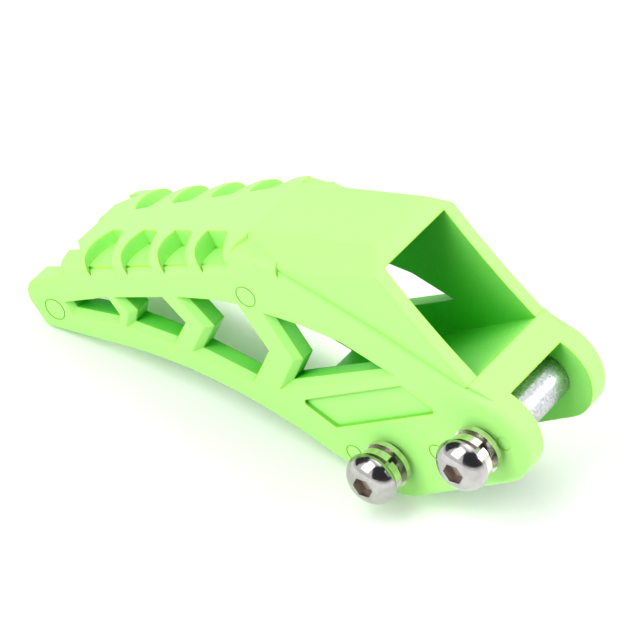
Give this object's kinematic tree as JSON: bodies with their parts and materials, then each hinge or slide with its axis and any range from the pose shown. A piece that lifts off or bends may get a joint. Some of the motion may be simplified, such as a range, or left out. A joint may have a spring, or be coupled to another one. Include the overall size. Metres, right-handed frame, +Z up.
{
  "type": "chain guide",
  "caption": "Moulded motorcycle chain guide: slanted chain opening, ribbed sloping roof, windowed side plates, with its button head bolts, loose washers and sleeves.",
  "frame": {"origin": "axis of the front bolt holes, at mid width between the two plates", "axes": "+X towards the head with the chain opening, +Y to the far plate along the bolts, +Z up as the guide stands on its lower edges"},
  "size_m": [0.1485, 0.0549, 0.0711],
  "materials": {
    "body": "satin moulded plastic",
    "sleeve": "turned",
    "washer": "polished",
    "screw": "polished"
  },
  "bodies": {
    "root": {"guide_body": "body", "front_sleeve": "sleeve", "front_flat_washer": "washer", "front_spring_washer": "washer", "front_screw": "screw", "rear_sleeve": "sleeve", "rear_flat_washer": "washer", "rear_spring_washer": "washer", "rear_screw": "screw"}
  },
  "joints": []
}
